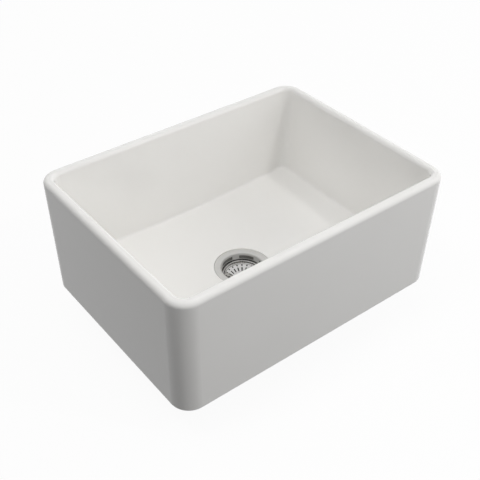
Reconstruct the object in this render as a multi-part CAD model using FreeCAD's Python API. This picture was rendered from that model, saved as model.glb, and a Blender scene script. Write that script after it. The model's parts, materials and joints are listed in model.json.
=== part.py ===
import FreeCAD, Part
import math
import os

from FreeCAD import Vector

# Fireclay kitchen sink with a basket strainer waste, in millimetres.
# The origin is the centre of the underside: +X is right, -Y is the front, +Z is up.

# Basin
basin_width = 610.0
basin_depth = 458.0
basin_height = 250.0
basin_wall = 20.0
basin_floor = 25.5  # thickness of the floor at the edge of the waste
wall_draft = 4.0  # each wall leans in by this much from the rim to the base
outer_corner = 38.0
inner_corner = 18.0
rim_outer_round = 8.5
rim_inner_round = 7.0
rim_outer_limit = 0.45  # most of the wall's thickness that the outer rounding takes
rim_inner_limit = 0.4
base_round = 4.0
cove_round = 6.0  # where the walls run into the floor
cove_limit = 0.8  # most of the inner corner's radius that the cove takes
floor_fall = 4.3  # slope of the floor towards the waste, in degrees
foot_width = 34.0
foot_recess = 4.0
foot_corner = 14.0

# Waste hole in the basin
hole_radius = 45.0
rebate_depth = 3.5
rebate_clearance = 0.8
rebate_round = 0.6

# Strainer body, pressed from sheet
strainer_sheet = 1.2
flange_radius = 56.5
lip_bend = 2.6
cup_bend = 2.0
cup_clearance = 1.0  # between the cup and the hole
basket_drop = 19.2  # from the top of the flange down to the ledge that carries the basket
ledge_width = 4.0
seat_drop = 27.5  # from the ledge down to the ring that the stopper closes on
seat_width = 6.0
cup_floor_fall = 4.5
neck_radius = 20.0
neck_depth = 11.5
window_count = 6
window_angle = 41.0
window_start = 20.5  # angle of the first window's side from +X
window_top_drop = 6.0
window_height = 8.0
window_corner = 1.2
port_count = 6
port_margin = 1.6
spoke_width = 4.0
spider_boss_radius = 9.5

# Seals against the basin
flange_gasket_thickness = 1.5
flange_gasket_margin = 1.0
housing_gasket_thickness = 5.0
housing_gasket_margin = 1.0

# Waste housing, moulded
housing_wall = 3.5
housing_clearance = 3.5  # around the lower part of the strainer cup
housing_flange_radius = 57.0
housing_flange_thickness = 5.0
housing_straight = 16.0
housing_taper = 26.0
housing_bend = 3.0
outlet_thread_radius = 23.9  # 1 1/2 inch pipe thread
outlet_length = 28.0
gusset_count = 12
gusset_thickness = 2.5
gusset_height = 11.0
boss_radius = 7.5
boss_length = 17.0
boss_drop = 7.0  # from the strainer's neck down to the boss
web_count = 3
web_thickness = 3.0
web_length = 12.0

# Clamp screw, its washer and the insert that it draws up
screw_radius = 3.0
screw_clearance = 0.3
thread_clearance = 0.05
screw_head_radius = 6.0
screw_head_height = 4.0
screw_head_round = 1.2
screw_socket_flats = 4.0
screw_socket_depth = 2.5
screw_end = 2.0  # stands out past the insert
screw_washer_radius = 7.5
screw_washer_thickness = 1.5
insert_flats = 10.0
insert_thickness = 5.0
insert_clearance = 0.05

# Basket, pressed from sheet
basket_sheet = 0.8
rim_height = 3.0
rim_bend = 0.6
rim_clearance = 1.0
basket_clearance = 0.5
basket_bend = 1.2
shelf_drop = 3.5  # from the ledge down to the shelf inside the basket
shelf_width = 3.0
hub_radius = 17.0
hub_drop = 11.7
drain_count = 20
drain_hole_radius = 1.6
drain_hole_place = 32.6
drain_slot_width = 2.6
drain_slot_outer = 28.6
drain_slot_inner = 20.4

# Guide bush in the middle of the basket
bush_radius = 6.4
bush_clearance = 0.1
bush_flange_radius = 9.0
bush_flange_thickness = 1.2
bush_length = 3.0  # below the basket
bush_clip_thickness = 1.0
bush_clip_radius = 9.0
bush_clip_groove = 0.8
bush_clip_opening = 70.0
grip_cord_radius = 0.9
grip_clearance = 0.05

# Stopper
stem_radius = 3.0
stem_clearance = 0.05
stem_collar_radius = 5.0
stem_collar_thickness = 1.5
stem_end = 0.5  # stands out past the nut
stem_in_knob = 6.0
seal_radius = 24.5
seal_thickness = 3.5
seal_lip_thickness = 1.6
seal_plate_radius = 15.5
seal_plate_thickness = 1.2
seal_washer_radius = 14.0
seal_washer_thickness = 1.2
nut_flats = 10.0
nut_thickness = 3.2
knob_gap = 0.4  # above the bush when the stopper is closed
knob_height = 9.0
knob_waist_height = 3.6
knob_shoulder_height = 5.6
knob_radius = 9.0
knob_waist_radius = 6.0
knob_base_radius = 7.5
knob_top_round = 2.0

# Levels, from the waste hole downwards
floor_level = foot_recess + basin_floor
flange_under = floor_level - rebate_depth + flange_gasket_thickness
flange_top = flange_under + strainer_sheet
ledge_level = flange_top - basket_drop
seat_level = ledge_level - seat_drop
neck_level = seat_level - neck_depth
housing_top = foot_recess - housing_gasket_thickness
taper_level = housing_top - housing_straight
outlet_level = taper_level - housing_taper
outlet_end = outlet_level - outlet_length
boss_top = neck_level - strainer_sheet - boss_drop
boss_bottom = boss_top - boss_length
rim_top = ledge_level + rim_height
shelf_level = ledge_level - shelf_drop
hub_level = ledge_level - hub_drop
hub_under = hub_level - basket_sheet
bush_top = hub_level + bush_flange_thickness
bush_bottom = hub_under - bush_length
knob_bottom = bush_top + knob_gap

# Radii of the waste hole's rebate, of the strainer cup and of what fits inside it
rebate_radius = flange_radius + rebate_clearance
cup_inner = hole_radius - cup_clearance - strainer_sheet
lower_cup_inner = cup_inner - ledge_width
rim_outer = cup_inner - rim_clearance
basket_inner = lower_cup_inner - basket_clearance - basket_sheet
housing_inner = lower_cup_inner + strainer_sheet + housing_clearance
outlet_inner = outlet_thread_radius - housing_wall

same_place = 0.01  # what lies closer than this counts as the same place

UP = Vector(0, 0, 1)
ORIGIN = Vector(0, 0, 0)


def rounded_rectangle(width, depth, radius, level):
    """A closed wire of four sides joined by quarter circles."""
    centre_x = width / 2 - radius
    centre_y = depth / 2 - radius
    arcs = []
    for turn, (side_x, side_y) in enumerate(((1, 1), (-1, 1), (-1, -1), (1, -1))):
        centre = Vector(side_x * centre_x, side_y * centre_y, level)
        arcs.append(Part.makeCircle(radius, centre, UP, 90 * turn, 90 * turn + 90))
    edges = []
    for arc, following in zip(arcs, arcs[1:] + arcs[:1]):
        side = Part.makeLine(arc.valueAt(arc.LastParameter), following.valueAt(following.FirstParameter))
        edges.extend([arc, side])
    return Part.Wire(edges)


def edges_at(shape, level, width=math.inf, depth=math.inf):
    """The edges that lie flat at a level, inside a rectangle about the Z axis if one is given."""
    found = []
    for edge in shape.Edges:
        box = edge.BoundBox
        flat = abs(box.ZMin - level) < same_place and abs(box.ZMax - level) < same_place
        in_width = max(-box.XMin, box.XMax) < width / 2 + same_place
        in_depth = max(-box.YMin, box.YMax) < depth / 2 + same_place
        if flat and in_width and in_depth:
            found.append(edge)
    return found


def half_plane(radius, level):
    return Vector(radius, 0, level)


def rounded_path(points, radii):
    """Edges along the points, with each inner corner rounded by its radius."""
    edges = []
    start = points[0]
    for before, corner, after, radius in zip(points, points[1:], points[2:], radii):
        arrive = (corner - before).normalize()
        leave = (after - corner).normalize()
        turn = arrive.getAngle(leave)
        if radius == 0 or turn < 1e-6:
            edges.append(Part.makeLine(start, corner))
            start = corner
            continue
        reach = radius * math.tan(turn / 2)
        arc_start = corner - arrive * reach
        arc_end = corner + leave * reach
        inward = (leave - arrive).normalize()
        middle = corner + inward * (radius / math.cos(turn / 2) - radius)
        edges.append(Part.makeLine(start, arc_start))
        edges.append(Part.Arc(arc_start, middle, arc_end).toShape())
        start = arc_end
    edges.append(Part.makeLine(start, points[-1]))
    return edges


def offset_points(points, distance):
    """The points moved to the right of their path, as seen from -Y, keeping the sides parallel."""
    directions = [(b - a).normalize() for a, b in zip(points, points[1:])]
    normals = [Vector(d.z, 0, -d.x) for d in directions]
    moved = [points[0] + normals[0] * distance]
    for corner, first, second in zip(points[1:], normals, normals[1:]):
        mitre = (first + second) * (1 / (1 + first.dot(second)))
        moved.append(corner + mitre * distance)
    moved.append(points[-1] + normals[-1] * distance)
    return moved


def turned_sheet(points, bends, thickness):
    """A sheet of even thickness turned about Z: its face runs through the points, its back is on the right."""
    back = offset_points(points, thickness)
    face_radii = []
    back_radii = []
    for before, corner, after, bend in zip(points, points[1:], points[2:], bends):
        arrive = corner - before
        leave = after - corner
        to_the_right = arrive.z * leave.x - arrive.x * leave.z > 0
        face_radii.append(bend + thickness if to_the_right and bend else bend)
        back_radii.append(bend if to_the_right or not bend else bend + thickness)
    edges = rounded_path(points, face_radii)
    edges.append(Part.makeLine(points[-1], back[-1]))
    edges.extend(rounded_path(back[::-1], back_radii[::-1]))
    edges.append(Part.makeLine(back[0], points[0]))
    return turned(edges)


def turned(edges):
    """The solid that a closed outline makes when it is turned about Z."""
    outline = Part.Wire(Part.__sortEdges__(edges))
    return Part.Face(outline).revolve(ORIGIN, UP, 360)


def turned_outline(corners):
    """A turned solid with sharp corners, given as radius and level."""
    points = [half_plane(*corner) for corner in corners]
    return Part.Face(Part.makePolygon(points + points[:1])).revolve(ORIGIN, UP, 360)


def disc(radius, bottom, top):
    return Part.makeCylinder(radius, top - bottom, Vector(0, 0, bottom))


def ring(inner, outer, bottom, top):
    return disc(outer, bottom, top).cut(disc(inner, bottom, top))


def hexagon(flats, bottom, top):
    corner_radius = flats / math.sqrt(3)
    corners = []
    for step in range(7):
        angle = math.radians(60 * step)
        corners.append(Vector(corner_radius * math.cos(angle), corner_radius * math.sin(angle), bottom))
    return Part.Face(Part.makePolygon(corners)).extrude(UP * (top - bottom))


def bar(length, width, bottom, top):
    """A bar from the Z axis outwards along X."""
    return Part.makeBox(length, width, top - bottom, Vector(0, -width / 2, bottom))


def around(shape, count, start=0.0):
    """Copies of a shape, evenly spaced about Z."""
    copies = []
    for step in range(count):
        copy = shape.copy()
        copy.rotate(ORIGIN, UP, start + 360 * step / count)
        copies.append(copy)
    return copies


def make_sink_bowl():
    base_width = basin_width - 2 * wall_draft
    base_depth = basin_depth - 2 * wall_draft
    base = rounded_rectangle(base_width, base_depth, outer_corner, 0)
    rim = rounded_rectangle(basin_width, basin_depth, outer_corner, basin_height)
    bowl = Part.makeLoft([base, rim], True, True)
    bowl = bowl.makeFillet(min(rim_outer_round, rim_outer_limit * basin_wall), edges_at(bowl, basin_height))
    bowl = bowl.makeFillet(base_round, edges_at(bowl, 0))

    lean = wall_draft * (1 - floor_level / basin_height)
    inner_width = basin_width - 2 * basin_wall
    inner_depth = basin_depth - 2 * basin_wall
    cavity_foot = rounded_rectangle(inner_width - 2 * lean, inner_depth - 2 * lean, inner_corner, floor_level)
    cavity_mouth = rounded_rectangle(inner_width, inner_depth, inner_corner, basin_height)
    cavity = Part.makeLoft([cavity_foot, cavity_mouth], True, True).cut(sloping_floor())
    cavity = cavity.makeFillet(min(cove_round, cove_limit * inner_corner), floor_edges(cavity))
    bowl = bowl.cut(cavity)
    mouth_edges = edges_at(bowl, basin_height, inner_width, inner_depth)
    bowl = bowl.makeFillet(min(rim_inner_round, rim_inner_limit * basin_wall), mouth_edges)

    recess_width = base_width - 2 * foot_width
    recess_depth = base_depth - 2 * foot_width
    recess = Part.Face(rounded_rectangle(recess_width, recess_depth, foot_corner, 0))
    hole = disc(hole_radius, 0, floor_level)
    rebate = disc(rebate_radius, floor_level - rebate_depth, floor_level)
    bowl = bowl.cut([recess.extrude(UP * foot_recess), hole, rebate])
    return bowl.makeFillet(rebate_round, edges_at(bowl, floor_level))


def sloping_floor():
    """What fills the foot of the cavity: a floor that rises from the waste's rebate to the walls."""
    reach = math.hypot(basin_width, basin_depth) / 2
    rise = (reach - rebate_radius) * math.tan(math.radians(floor_fall))
    return turned_outline([(rebate_radius, floor_level), (reach, floor_level), (reach, floor_level + rise)])


def floor_edges(cavity):
    """The edges along which the sloping floor meets the walls."""
    found = []
    for edge in cavity.Edges:
        box = edge.BoundBox
        if box.ZMin > floor_level + same_place and box.ZMax < basin_height - same_place:
            found.append(edge)
    return found


def make_flange_gasket():
    inner = cup_inner + strainer_sheet + lip_bend + flange_gasket_margin
    outer = flange_radius - flange_gasket_margin
    return ring(inner, outer, floor_level - rebate_depth, flange_under)


def make_strainer_body():
    profile = [
        half_plane(screw_radius + screw_clearance, neck_level),
        half_plane(neck_radius, neck_level),
        half_plane(neck_radius, seat_level),
        half_plane(neck_radius + seat_width, seat_level),
        half_plane(lower_cup_inner, seat_level + cup_floor_fall),
        half_plane(lower_cup_inner, ledge_level),
        half_plane(cup_inner, ledge_level),
        half_plane(cup_inner, flange_top),
        half_plane(flange_radius, flange_top),
    ]
    bends = [0, 0, 0, cup_bend, 0, 0, lip_bend]
    body = turned_sheet(profile, bends, strainer_sheet)
    return body.cut(strainer_windows() + strainer_ports())


def strainer_windows():
    """Overflow windows punched in the upper wall of the cup."""
    top = flange_top - window_top_drop
    bottom = top - window_height
    inside = cup_inner - strainer_sheet
    outside = cup_inner + 2 * strainer_sheet
    corners = [(inside, bottom), (outside, bottom), (outside, top), (inside, top)]
    points = [half_plane(*corner) for corner in corners]
    side = Part.Face(Part.makePolygon(points + points[:1]))
    window = side.revolve(ORIGIN, UP, window_angle)
    radial = [e for e in window.Edges if abs(e.Length - (outside - inside)) < same_place]
    window = window.makeFillet(window_corner, radial)
    return around(window, window_count, window_start)


def strainer_ports():
    """Openings between the spokes in the floor of the neck."""
    bottom = neck_level - 2 * strainer_sheet
    top = neck_level + strainer_sheet
    opening = ring(spider_boss_radius, neck_radius - port_margin, bottom, top)
    spokes = around(bar(neck_radius, spoke_width, bottom, top), port_count)
    return [opening.cut(spokes)]


def make_housing_gasket():
    outer = housing_flange_radius - housing_gasket_margin
    return ring(hole_radius + housing_gasket_margin, outer, housing_top, foot_recess)


def make_waste_housing():
    shell_path = [
        half_plane(outlet_inner, outlet_end),
        half_plane(outlet_inner, outlet_level),
        half_plane(housing_inner, taper_level),
        half_plane(housing_inner, housing_top),
    ]
    shell = turned_sheet(shell_path, [housing_bend, housing_bend], housing_wall)
    flange_bottom = housing_top - housing_flange_thickness
    pieces = [ring(housing_inner, housing_flange_radius, flange_bottom, housing_top)]
    pieces.extend(around(housing_gusset(flange_bottom), gusset_count))
    pieces.append(disc(boss_radius, boss_bottom, boss_top))
    web = bar(outlet_inner + housing_wall / 2, web_thickness, boss_bottom, boss_bottom + web_length)
    pieces.extend(around(web, web_count, 90))
    housing = shell.fuse(pieces).removeSplitter()
    pocket = hexagon(insert_flats + 2 * insert_clearance, boss_bottom, boss_bottom + insert_thickness)
    passage = disc(screw_radius + screw_clearance, boss_bottom, boss_top)
    return housing.cut([pocket, passage])


def housing_gusset(flange_bottom):
    """A rib between the housing's flange and its wall."""
    inside = housing_inner + housing_wall / 2
    corners = [
        half_plane(inside, flange_bottom),
        half_plane(housing_flange_radius, flange_bottom),
        half_plane(housing_inner + housing_wall, flange_bottom - gusset_height),
        half_plane(inside, flange_bottom - gusset_height),
    ]
    side = Part.Face(Part.makePolygon(corners + corners[:1]))
    gusset = side.extrude(Vector(0, gusset_thickness, 0))
    gusset.translate(Vector(0, -gusset_thickness / 2, 0))
    return gusset


def make_screw_insert():
    insert = hexagon(insert_flats, boss_bottom, boss_bottom + insert_thickness)
    return insert.cut(disc(screw_radius + thread_clearance, boss_bottom, boss_bottom + insert_thickness))


def make_screw_washer():
    inner = screw_radius + screw_clearance
    return ring(inner, screw_washer_radius, neck_level, neck_level + screw_washer_thickness)


def make_clamp_screw():
    head_bottom = neck_level + screw_washer_thickness
    head_top = head_bottom + screw_head_height
    head = disc(screw_head_radius, head_bottom, head_top)
    head = head.makeFillet(screw_head_round, edges_at(head, head_top))
    shank = disc(screw_radius, boss_bottom - screw_end, head_bottom)
    socket = hexagon(screw_socket_flats, head_top - screw_socket_depth, head_top)
    return head.fuse(shank).removeSplitter().cut(socket)


def make_basket():
    profile = [
        half_plane(bush_radius + bush_clearance, hub_level),
        half_plane(hub_radius, hub_level),
        half_plane(basket_inner - shelf_width, shelf_level),
        half_plane(basket_inner, shelf_level),
        half_plane(basket_inner, rim_top),
        half_plane(rim_outer, rim_top),
        half_plane(rim_outer, ledge_level),
    ]
    bends = [0, 0, basket_bend, rim_bend, rim_bend]
    basket = turned_sheet(profile, bends, basket_sheet)
    return basket.cut(basket_holes())


def basket_holes():
    """A ring of round holes and a ring of radial slots."""
    bottom = hub_under - basket_sheet
    height = rim_top - bottom
    hole = Part.makeCylinder(drain_hole_radius, height, Vector(drain_hole_place, 0, bottom))
    half_width = drain_slot_width / 2
    near = drain_slot_inner + half_width
    far = drain_slot_outer - half_width
    edges = [
        Part.makeLine(Vector(near, -half_width, bottom), Vector(far, -half_width, bottom)),
        Part.makeCircle(half_width, Vector(far, 0, bottom), UP, -90, 90),
        Part.makeLine(Vector(far, half_width, bottom), Vector(near, half_width, bottom)),
        Part.makeCircle(half_width, Vector(near, 0, bottom), UP, 90, 270),
    ]
    slot = Part.Face(Part.Wire(edges)).extrude(UP * height)
    return around(hole, drain_count) + around(slot, drain_count)


def make_hub_bush():
    sleeve = ring(stem_radius + stem_clearance, bush_radius, bush_bottom, hub_level)
    flange = ring(stem_radius + stem_clearance, bush_flange_radius, hub_level, bush_top)
    bush = sleeve.fuse(flange).removeSplitter()
    clip_groove = ring(
        bush_radius - bush_clip_groove, bush_clip_radius, hub_under - bush_clip_thickness, hub_under
    )
    middle = (bush_top + bush_bottom) / 2
    half_groove = grip_cord_radius + grip_clearance
    grip_groove = disc(
        stem_radius + stem_clearance + 2 * half_groove, middle - half_groove, middle + half_groove
    )
    return bush.cut([clip_groove, grip_groove])


def make_bush_clip():
    """An open spring ring in the bush's groove, under the basket."""
    inner = bush_radius - bush_clip_groove
    bottom = hub_under - bush_clip_thickness
    corners = [(inner, bottom), (bush_clip_radius, bottom), (bush_clip_radius, hub_under), (inner, hub_under)]
    points = [half_plane(*corner) for corner in corners]
    side = Part.Face(Part.makePolygon(points + points[:1]))
    side.rotate(ORIGIN, UP, bush_clip_opening / 2)
    return side.revolve(ORIGIN, UP, 360 - bush_clip_opening)


def make_grip_ring():
    """A soft ring in the bush that holds the stem where it is put."""
    middle = (bush_top + bush_bottom) / 2
    centre_radius = stem_radius + stem_clearance + grip_clearance + grip_cord_radius
    return Part.makeTorus(centre_radius, grip_cord_radius, Vector(0, 0, middle))


def make_stopper_seal():
    """A rubber disc with a thin lip that closes on the strainer's seat."""
    bore = stem_radius + thread_clearance
    return turned_outline([
        (bore, seat_level),
        (seal_radius, seat_level),
        (seal_radius, seat_level + seal_lip_thickness),
        (seal_plate_radius, seat_level + seal_thickness),
        (bore, seat_level + seal_thickness),
    ])


def make_seal_plate():
    bottom = seat_level + seal_thickness
    return ring(stem_radius + thread_clearance, seal_plate_radius, bottom, bottom + seal_plate_thickness)


def make_seal_washer():
    return ring(
        stem_radius + thread_clearance, seal_washer_radius, seat_level - seal_washer_thickness, seat_level
    )


def make_stem_nut():
    top = seat_level - seal_washer_thickness
    nut = hexagon(nut_flats, top - nut_thickness, top)
    return nut.cut(disc(stem_radius + thread_clearance, top - nut_thickness, top))


def make_stopper_stem():
    end = seat_level - seal_washer_thickness - nut_thickness - stem_end
    rod = disc(stem_radius, end, knob_bottom + stem_in_knob)
    collar_bottom = seat_level + seal_thickness + seal_plate_thickness
    collar = disc(stem_collar_radius, collar_bottom, collar_bottom + stem_collar_thickness)
    return rod.fuse(collar).removeSplitter()


def make_lift_knob():
    knob_top = knob_bottom + knob_height
    waist_level = knob_bottom + knob_waist_height
    shoulder_level = knob_bottom + knob_shoulder_height
    profile = [
        half_plane(0, knob_top),
        half_plane(knob_radius, knob_top),
        half_plane(knob_radius, shoulder_level),
        half_plane(knob_waist_radius, waist_level),
        half_plane(knob_base_radius, knob_bottom),
        half_plane(0, knob_bottom),
    ]
    edges = rounded_path(profile, [knob_top_round, 0, knob_top_round, 0])
    edges.append(Part.makeLine(profile[-1], profile[0]))
    knob = turned(edges)
    return knob.cut(disc(stem_radius + thread_clearance, knob_bottom, knob_bottom + stem_in_knob))


NODES = {
    "sink_bowl": make_sink_bowl,
    "flange_gasket": make_flange_gasket,
    "strainer_body": make_strainer_body,
    "housing_gasket": make_housing_gasket,
    "waste_housing": make_waste_housing,
    "screw_insert": make_screw_insert,
    "screw_washer": make_screw_washer,
    "clamp_screw": make_clamp_screw,
    "basket": make_basket,
    "hub_bush": make_hub_bush,
    "bush_clip": make_bush_clip,
    "grip_ring": make_grip_ring,
    "stopper_seal": make_stopper_seal,
    "seal_plate": make_seal_plate,
    "seal_washer": make_seal_washer,
    "stem_nut": make_stem_nut,
    "stopper_stem": make_stopper_stem,
    "lift_knob": make_lift_knob,
}

os.makedirs("parts", exist_ok=True)
for name, make in NODES.items():
    make().exportStep(f"parts/{name}.step")
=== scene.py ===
import json
import math

import bmesh
import bpy
from mathutils import Matrix, Vector


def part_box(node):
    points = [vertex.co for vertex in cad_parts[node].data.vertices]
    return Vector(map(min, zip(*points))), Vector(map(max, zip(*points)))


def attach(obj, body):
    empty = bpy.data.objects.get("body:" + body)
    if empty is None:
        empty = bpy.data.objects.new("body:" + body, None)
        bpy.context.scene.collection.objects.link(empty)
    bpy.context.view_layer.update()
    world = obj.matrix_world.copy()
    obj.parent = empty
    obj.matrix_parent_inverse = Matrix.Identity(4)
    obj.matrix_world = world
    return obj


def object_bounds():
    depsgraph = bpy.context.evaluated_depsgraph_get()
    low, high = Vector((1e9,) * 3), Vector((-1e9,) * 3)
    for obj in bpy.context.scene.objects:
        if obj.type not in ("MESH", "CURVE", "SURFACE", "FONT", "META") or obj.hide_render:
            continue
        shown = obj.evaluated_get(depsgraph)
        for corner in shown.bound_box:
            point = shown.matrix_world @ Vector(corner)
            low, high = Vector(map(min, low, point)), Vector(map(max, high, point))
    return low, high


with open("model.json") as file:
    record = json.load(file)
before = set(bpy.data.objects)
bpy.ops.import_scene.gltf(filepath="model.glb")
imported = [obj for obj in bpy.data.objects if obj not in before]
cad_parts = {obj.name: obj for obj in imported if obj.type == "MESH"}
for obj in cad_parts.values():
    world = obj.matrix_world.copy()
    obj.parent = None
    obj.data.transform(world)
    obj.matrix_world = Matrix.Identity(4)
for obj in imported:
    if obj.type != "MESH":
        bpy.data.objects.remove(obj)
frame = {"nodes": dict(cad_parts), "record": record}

cad_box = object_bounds()

# The camera circles the frame's origin and is then moved right and up in its own directions.
# Angles in degrees, lengths in metres, the lens in millimetres.
CAMERA_AZIMUTH = -38.35
CAMERA_ELEVATION = 38.37
CAMERA_ROLL = 0.63
CAMERA_DISTANCE = 1.6517
CAMERA_RIGHT = -0.0059
CAMERA_RISE = 0.0756
CAMERA_LENS = 61.15

# Lamps: place and size in metres, power in watts. All are aimed at the middle of the bowl.
# The small key lamp gives the right wall its shadow on the floor, the wider ones fill it, and the
# low one behind the sink lights its back.
AIM = Vector((0.0, 0.0, 0.12))
LAMPS = {
    "key_lamp": {"place": (0.8, -1.69, 2.02), "size": 0.2, "power": 10.5},
    "left_lamp": {"place": (-0.6, -0.9, 2.2), "size": 2.4, "power": 15.2},
    "low_left_lamp": {"place": (-2.3, 0.1, 1.3), "size": 1.6, "power": 3.1},
    "high_left_lamp": {"place": (-1.2, 0.0, 2.6), "size": 0.6, "power": 13.2},
    "right_lamp": {"place": (2.7, -0.2, 1.1), "size": 2.8, "power": 41.0},
    "front_lamp": {"place": (0.9, -2.4, 1.3), "size": 2.0, "power": 8.8},
    "low_front_lamp": {"place": (0.9, -2.6, 0.7), "size": 1.6, "power": 12.9},
    "back_lamp": {"place": (-0.4, 1.5, 2.0), "size": 2.0, "power": 13.0},
    "low_back_lamp": {"place": (1.4, 2.8, 0.55), "size": 1.6, "power": 25.0},
}

# The sky is white where it is seen, and this strong as light.
SKY_STRENGTH = 0.01
# The floor is this share white where it is seen, and the rest shows the object's shadow.
FLOOR_WHITE_SHARE = 0.94
FLOOR_SEEN_TONE = 0.95
FLOOR_BOUNCE_TONE = 0.05
FLOOR_RADIUS = 9.0
FLOOR_SEGMENTS = 96
FLOOR_GAP = 0.0005

# Where the glaze stops, in metres: under the sink, and in the waste hole below the flange.
BISCUIT_TOP = 0.005
BISCUIT_WAVER = 0.0012
FACING_DOWN = -0.75
WASTE_HOLE_RADIUS = 0.0455
SAME_LEVEL = 0.0005
BARE_ROUGHNESS = 0.7

# Strainer: how far the painted shade on its lower part reaches above the basket, in metres, what
# satin and etching add to its roughness, and how metallic its etched wall is.
PAINTED_SHADE_LINE = 0.0015
SATIN_ROUGHNESS = 0.4
ETCHED_ROUGHNESS = 0.45
ETCHED_METALLIC = 0.3

# Turned lines: their spacing in metres, and how often they break in a radian.
LINE_SPACING = 0.0004
LINE_BREAKS = 2.5

# Outlet thread, metres. Its section is in pitches along the outlet and heights outwards.
THREAD_PITCH = 0.002309
THREAD_TURNS = 8
THREAD_HEIGHT = 0.0007
THREAD_LIFT = 0.000041
THREAD_START = 0.0015
THREAD_STEPS = 60
THREAD_SECTION = ((-0.45, 0.0), (-0.1, 1.0), (0.1, 1.0), (0.45, 0.0))


class Finish:
    """A material, with short ways to add and link its nodes."""

    def __init__(self, name):
        self.material = bpy.data.materials.new(name)
        self.material.use_nodes = True
        self.tree = self.material.node_tree
        self.shader = self.tree.nodes["Principled BSDF"]

    def add(self, kind, inputs=None, **settings):
        node = self.tree.nodes.new(kind)
        for name, value in settings.items():
            setattr(node, name, value)
        for socket, value in (inputs or {}).items():
            self.put(node.inputs[socket], value)
        return node

    def put(self, socket, value):
        if isinstance(value, bpy.types.NodeSocket):
            self.tree.links.new(value, socket)
        else:
            socket.default_value = value

    def set(self, **values):
        """Values or links for the shader's own sockets, named with underscores for spaces."""
        for name, value in values.items():
            self.put(self.shader.inputs[name.replace("_", " ")], value)

    def place(self):
        return self.add("ShaderNodeTexCoord").outputs["Object"]

    def height(self, place):
        return self.add("ShaderNodeSeparateXYZ", {0: place}).outputs["Z"]

    def radius(self, place):
        """The distance from the Z axis."""
        level = {0: place, 1: (1.0, 1.0, 0.0)}
        flat = self.add("ShaderNodeVectorMath", level, operation="MULTIPLY").outputs[0]
        return self.add("ShaderNodeVectorMath", {0: flat}, operation="LENGTH").outputs["Value"]

    def facing_up(self):
        """1 on faces that look up, 0 on upright ones and -1 on those that look down."""
        normal = self.add("ShaderNodeNewGeometry").outputs["Normal"]
        return self.height(normal)

    def round_tangent(self):
        return self.add("ShaderNodeTangent", direction_type="RADIAL", axis="Z").outputs[0]

    def noise(self, vector, scale, detail=2.0):
        settings = {"Vector": vector, "Scale": scale, "Detail": detail}
        return self.add("ShaderNodeTexNoise", settings).outputs["Fac"]

    def turned_lines(self, place, spacing=LINE_SPACING):
        """Fine lines round the Z axis, as a lathe or a brush leaves them."""
        parts = self.add("ShaderNodeSeparateXYZ", {0: place}).outputs
        angle = self.math("ARCTAN2", parts["Y"], parts["X"])
        across = self.math("MULTIPLY", self.radius(place), 1.0 / spacing)
        along = self.math("MULTIPLY", angle, LINE_BREAKS)
        up = self.math("MULTIPLY", parts["Z"], 1.0 / spacing)
        lines = self.add("ShaderNodeCombineXYZ", {0: across, 1: along, 2: up}).outputs[0]
        return self.noise(lines, scale=1.0)

    def math(self, operation, first, second):
        return self.add("ShaderNodeMath", {0: first, 1: second}, operation=operation).outputs[0]

    def between(self, value, low, high):
        """The value, held to 0..1 and spread from there to low..high."""
        settings = {"Value": value, "To Min": low, "To Max": high}
        return self.add("ShaderNodeMapRange", settings).outputs["Result"]

    def blend(self, share, first, second):
        """A colour that goes from the first to the second as share goes from 0 to 1."""
        node = self.add("ShaderNodeMix", data_type="RGBA")
        self.put(node.inputs[0], share)
        self.put(node.inputs[6], first)
        self.put(node.inputs[7], second)
        return node.outputs[2]

    def bump(self, height, depth, normal=None):
        """A bump of that depth in metres, on top of another normal if one is given."""
        settings = {"Height": height, "Distance": depth, "Strength": 1.0}
        if normal is not None:
            settings["Normal"] = normal
        return self.add("ShaderNodeBump", settings).outputs["Normal"]


def rgb(red, green, blue):
    return (red, green, blue, 1.0)


def grey(tone):
    return rgb(tone, tone, tone)


def glazed_fireclay():
    """White gloss glaze, a little uneven; bare biscuit under the sink, painted shade in the waste
    hole.
    """
    f = Finish("glazed_fireclay")
    place = f.place()
    height = f.height(place)
    cloud = f.noise(place, scale=7.0, detail=3.0)
    glaze = f.blend(cloud, rgb(0.905, 0.895, 0.872), rgb(0.935, 0.927, 0.908))
    grains = f.noise(place, scale=900.0, detail=3.0)
    biscuit = f.blend(grains, rgb(0.30, 0.28, 0.25), rgb(0.46, 0.43, 0.39))
    # The bare wall of the waste hole is painted dark grey: painted shade for the dark seen through
    # the cup's windows.
    painted_hole_shade = f.blend(grains, rgb(0.17, 0.168, 0.16), rgb(0.25, 0.247, 0.235))

    waver = f.between(f.noise(place, scale=120.0), low=-BISCUIT_WAVER, high=BISCUIT_WAVER)
    low = f.math("LESS_THAN", f.math("ADD", height, waver), BISCUIT_TOP)
    down = f.math("LESS_THAN", f.facing_up(), FACING_DOWN)
    under = f.math("MULTIPLY", low, down)
    rebate_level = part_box("flange_gasket")[0][2] + SAME_LEVEL
    below_flange = f.math("LESS_THAN", height, rebate_level)
    near_axis = f.math("LESS_THAN", f.radius(place), WASTE_HOLE_RADIUS)
    in_hole = f.math("MULTIPLY", near_axis, below_flange)
    bare = f.math("MAXIMUM", under, in_hole)

    gloss = f.between(f.noise(place, scale=26.0), low=0.04, high=0.08)
    waves = f.bump(f.noise(place, scale=12.0, detail=1.0), depth=0.0002)
    f.set(
        Base_Color=f.blend(in_hole, f.blend(under, glaze, biscuit), painted_hole_shade),
        Roughness=f.math("ADD", f.math("MULTIPLY", bare, BARE_ROUGHNESS), gloss),
        Normal=f.bump(f.noise(place, scale=330.0, detail=1.0), depth=0.000006, normal=waves),
        IOR=1.52,
    )
    return f.material


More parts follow.
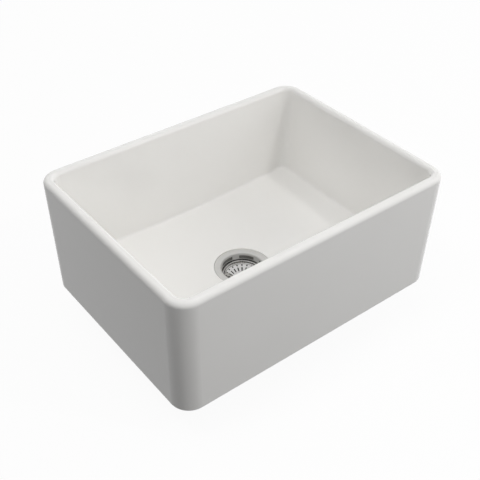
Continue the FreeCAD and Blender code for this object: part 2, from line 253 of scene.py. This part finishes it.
def polished_steel():
    """Bright stainless steel with fine turned lines."""
    f = Finish("polished_stainless")
    place = f.place()
    lines = f.turned_lines(place)
    stains = f.noise(place, scale=60.0, detail=4.0)
    f.set(
        Base_Color=f.blend(stains, rgb(0.54, 0.535, 0.525), rgb(0.5832, 0.5778, 0.567)),
        Metallic=1.0,
        Roughness=f.between(lines, low=0.06, high=0.13),
        Anisotropic=0.5,
        Tangent=f.round_tangent(),
        Normal=f.bump(lines, depth=0.000002),
    )
    return f.material


def strainer_steel():
    """Satin flange, a matt etched cup wall down to the basket, and painted shade on the steel under
    it.
    """
    f = Finish("satin_stainless")
    place = f.place()
    lines = f.turned_lines(place)
    basket_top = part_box("basket")[1][2]
    span = {"Value": f.height(place), "From Min": basket_top, "From Max": basket_top + PAINTED_SHADE_LINE}
    satin = f.add("ShaderNodeMapRange", span).outputs["Result"]
    upright = f.between(f.facing_up(), low=1.0, high=0.0)
    etched = f.math("MULTIPLY", upright, satin)
    satin_part = f.math("MULTIPLY", satin, SATIN_ROUGHNESS)
    etched_part = f.math("MULTIPLY", etched, ETCHED_ROUGHNESS)
    matt = f.math("ADD", satin_part, etched_part)
    stains = f.noise(place, scale=50.0, detail=4.0)
    unshaded_steel = f.blend(stains, rgb(0.64, 0.635, 0.62), rgb(0.70, 0.695, 0.68))
    # Below the basket the steel is painted dark grey: painted shade for the dark seen through the
    # basket's slots.
    painted_shade_under_basket = f.blend(stains, rgb(0.28, 0.277, 0.268), rgb(0.36, 0.356, 0.345))
    f.set(
        Base_Color=f.blend(satin, painted_shade_under_basket, unshaded_steel),
        Metallic=f.between(etched, low=1.0, high=ETCHED_METALLIC),
        Roughness=f.math("ADD", f.between(lines, low=0.1, high=0.18), matt),
        Anisotropic=0.4,
        Tangent=f.round_tangent(),
        Normal=f.bump(lines, depth=0.000004),
    )
    return f.material


def rubber():
    """Black rubber with a faint bloom."""
    f = Finish("gasket_rubber")
    place = f.place()
    bloom = f.noise(place, scale=90.0, detail=4.0)
    f.set(
        Base_Color=f.blend(bloom, rgb(0.018, 0.018, 0.018), rgb(0.045, 0.045, 0.046)),
        Roughness=f.between(bloom, low=0.55, high=0.8),
        Normal=f.bump(f.noise(place, scale=1800.0), depth=0.00003),
    )
    return f.material


def moulded_plastic():
    """Pale polypropylene with a fine spark-eroded skin."""
    f = Finish("moulded_plastic")
    place = f.place()
    flow = f.noise(place, scale=22.0, detail=3.0)
    f.set(
        Base_Color=f.blend(flow, rgb(0.66, 0.66, 0.64), rgb(0.74, 0.74, 0.72)),
        Roughness=f.between(flow, low=0.38, high=0.5),
        Normal=f.bump(f.noise(place, scale=2200.0), depth=0.00002),
    )
    return f.material


def nylon():
    """Natural nylon, which lets a little light in."""
    f = Finish("nylon")
    flow = f.noise(f.place(), scale=150.0, detail=3.0)
    f.set(
        Base_Color=f.blend(flow, rgb(0.72, 0.69, 0.60), rgb(0.80, 0.78, 0.71)),
        Roughness=f.between(flow, low=0.28, high=0.4),
        Subsurface_Weight=0.15,
        Subsurface_Radius=(0.002, 0.0018, 0.0014),
    )
    return f.material


def brass():
    """Turned brass, a little tarnished."""
    f = Finish("brass")
    place = f.place()
    lines = f.turned_lines(place, spacing=0.0003)
    tarnish = f.noise(place, scale=300.0, detail=4.0)
    f.set(
        Base_Color=f.blend(tarnish, rgb(0.62, 0.43, 0.16), rgb(0.80, 0.62, 0.30)),
        Metallic=1.0,
        Roughness=f.between(tarnish, low=0.25, high=0.42),
        Normal=f.bump(lines, depth=0.000005),
    )
    return f.material


def make_finishes():
    """One finish for each of the record's material slots."""
    return {
        "glazed_fireclay": glazed_fireclay(),
        "satin_stainless": strainer_steel(),
        "polished_stainless": polished_steel(),
        "gasket_rubber": rubber(),
        "moulded_plastic": moulded_plastic(),
        "nylon": nylon(),
        "brass": brass(),
    }


def dress_nodes(finishes):
    """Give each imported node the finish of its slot."""
    for part in frame["record"]["subparts"]:
        mesh = frame["nodes"][part["node"]].data
        mesh.materials.clear()
        mesh.materials.append(finishes[part["material_slot"]])


def outlet_thread(finishes):
    """A pipe thread wound round the outlet, fading out at both ends."""
    outlet = next(m for m in frame["record"]["mounts"] if m["name"] == "waste_outlet")
    root_radius = outlet["dims"]["r_mm"] / 1000 + THREAD_LIFT
    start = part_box("waste_housing")[0][2] + THREAD_START
    mesh = bmesh.new()
    rings = []
    for step in range(THREAD_TURNS * THREAD_STEPS + 1):
        turn = step / THREAD_STEPS
        fade = min(1.0, 2 * turn, 2 * (THREAD_TURNS - turn))
        angle = 2 * math.pi * turn
        corners = []
        for along, out in THREAD_SECTION:
            radius = root_radius + THREAD_HEIGHT * out * fade
            level = start + THREAD_PITCH * (turn + 0.5 + along)
            corner = (radius * math.cos(angle), radius * math.sin(angle), level)
            corners.append(mesh.verts.new(corner))
        rings.append(corners)
    sides = len(THREAD_SECTION)
    for lower, upper in zip(rings, rings[1:]):
        for side in range(sides):
            after = (side + 1) % sides
            mesh.faces.new((lower[side], upper[side], upper[after], lower[after]))
    mesh.faces.new(rings[0])
    mesh.faces.new(rings[-1][::-1])
    bmesh.ops.recalc_face_normals(mesh, faces=mesh.faces)
    data = bpy.data.meshes.new("outlet_thread")
    mesh.to_mesh(data)
    mesh.free()
    data.materials.append(finishes["moulded_plastic"])
    piece = bpy.data.objects.new("outlet_thread", data)
    bpy.context.scene.collection.objects.link(piece)
    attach(piece, "sink_assembly")


def make_camera():
    azimuth = math.radians(CAMERA_AZIMUTH)
    elevation = math.radians(CAMERA_ELEVATION)
    roll = math.radians(CAMERA_ROLL)
    back = Vector(
        (
            math.sin(azimuth) * math.cos(elevation),
            -math.cos(azimuth) * math.cos(elevation),
            math.sin(elevation),
        )
    )
    level_right = Vector((math.cos(azimuth), math.sin(azimuth), 0.0))
    level_up = back.cross(level_right)
    right = level_right * math.cos(roll) + level_up * math.sin(roll)
    up = level_up * math.cos(roll) - level_right * math.sin(roll)
    camera = bpy.data.objects.new("camera", bpy.data.cameras.new("camera"))
    camera.data.lens = CAMERA_LENS
    place = back * CAMERA_DISTANCE + level_right * CAMERA_RIGHT + level_up * CAMERA_RISE
    turn = Matrix((right, up, back)).transposed().to_4x4()
    camera.matrix_world = Matrix.Translation(place) @ turn
    bpy.context.scene.collection.objects.link(camera)
    bpy.context.scene.camera = camera


def make_lamps():
    for name, lamp in LAMPS.items():
        data = bpy.data.lights.new(name, "AREA")
        data.size = lamp["size"]
        data.energy = lamp["power"]
        item = bpy.data.objects.new(name, data)
        item.location = lamp["place"]
        item.visible_camera = False
        item.visible_glossy = False
        item.rotation_euler = (AIM - item.location).to_track_quat("-Z", "Y").to_euler()
        bpy.context.scene.collection.objects.link(item)


def seen_directly(tree):
    """1 for what is seen straight, in a reflection or through glass, and 0 for other light."""
    path = tree.nodes.new("ShaderNodeLightPath")
    total = path.outputs["Is Camera Ray"]
    for name in ("Is Glossy Ray", "Is Transmission Ray"):
        either = tree.nodes.new("ShaderNodeMath")
        either.operation = "MAXIMUM"
        tree.links.new(total, either.inputs[0])
        tree.links.new(path.outputs[name], either.inputs[1])
        total = either.outputs[0]
    return total


def make_sky():
    """White where it is seen, and a weaker even light everywhere else."""
    world = bpy.data.worlds.new("sky")
    bpy.context.scene.world = world
    world.use_nodes = True
    tree = world.node_tree
    strength = tree.nodes.new("ShaderNodeMapRange")
    strength.inputs["To Min"].default_value = SKY_STRENGTH
    strength.inputs["To Max"].default_value = 1.0
    tree.links.new(seen_directly(tree), strength.inputs["Value"])
    background = tree.nodes["Background"]
    background.inputs["Color"].default_value = grey(1.0)
    tree.links.new(strength.outputs["Result"], background.inputs["Strength"])


def floor_finish():
    """Near white where it is seen, with the object's shadow, and dark to the light it throws back."""
    f = Finish("floor")
    seen = seen_directly(f.tree)
    colour = f.blend(seen, grey(FLOOR_BOUNCE_TONE), grey(FLOOR_SEEN_TONE))
    f.set(Base_Color=colour, Roughness=0.9, Specular_IOR_Level=0.0)
    white = f.add("ShaderNodeEmission", {"Color": grey(1.0), "Strength": 1.0})
    share = f.math("MULTIPLY", seen, FLOOR_WHITE_SHARE)
    mix = f.add("ShaderNodeMixShader", {0: share, 1: f.shader.outputs[0], 2: white.outputs[0]})
    f.tree.links.new(mix.outputs[0], f.tree.nodes["Material Output"].inputs["Surface"])
    return f.material


def make_floor():
    """A wide pale floor just under the outlet."""
    mesh = bmesh.new()
    bmesh.ops.create_circle(mesh, cap_ends=True, radius=FLOOR_RADIUS, segments=FLOOR_SEGMENTS)
    data = bpy.data.meshes.new("floor")
    mesh.to_mesh(data)
    mesh.free()
    data.materials.append(floor_finish())
    floor = bpy.data.objects.new("floor", data)
    floor.location.z = cad_box[0][2] - FLOOR_GAP
    bpy.context.scene.collection.objects.link(floor)


bpy.context.scene.view_settings.view_transform = "Standard"
finishes = make_finishes()
dress_nodes(finishes)
outlet_thread(finishes)
make_camera()
make_lamps()
make_sky()
make_floor()
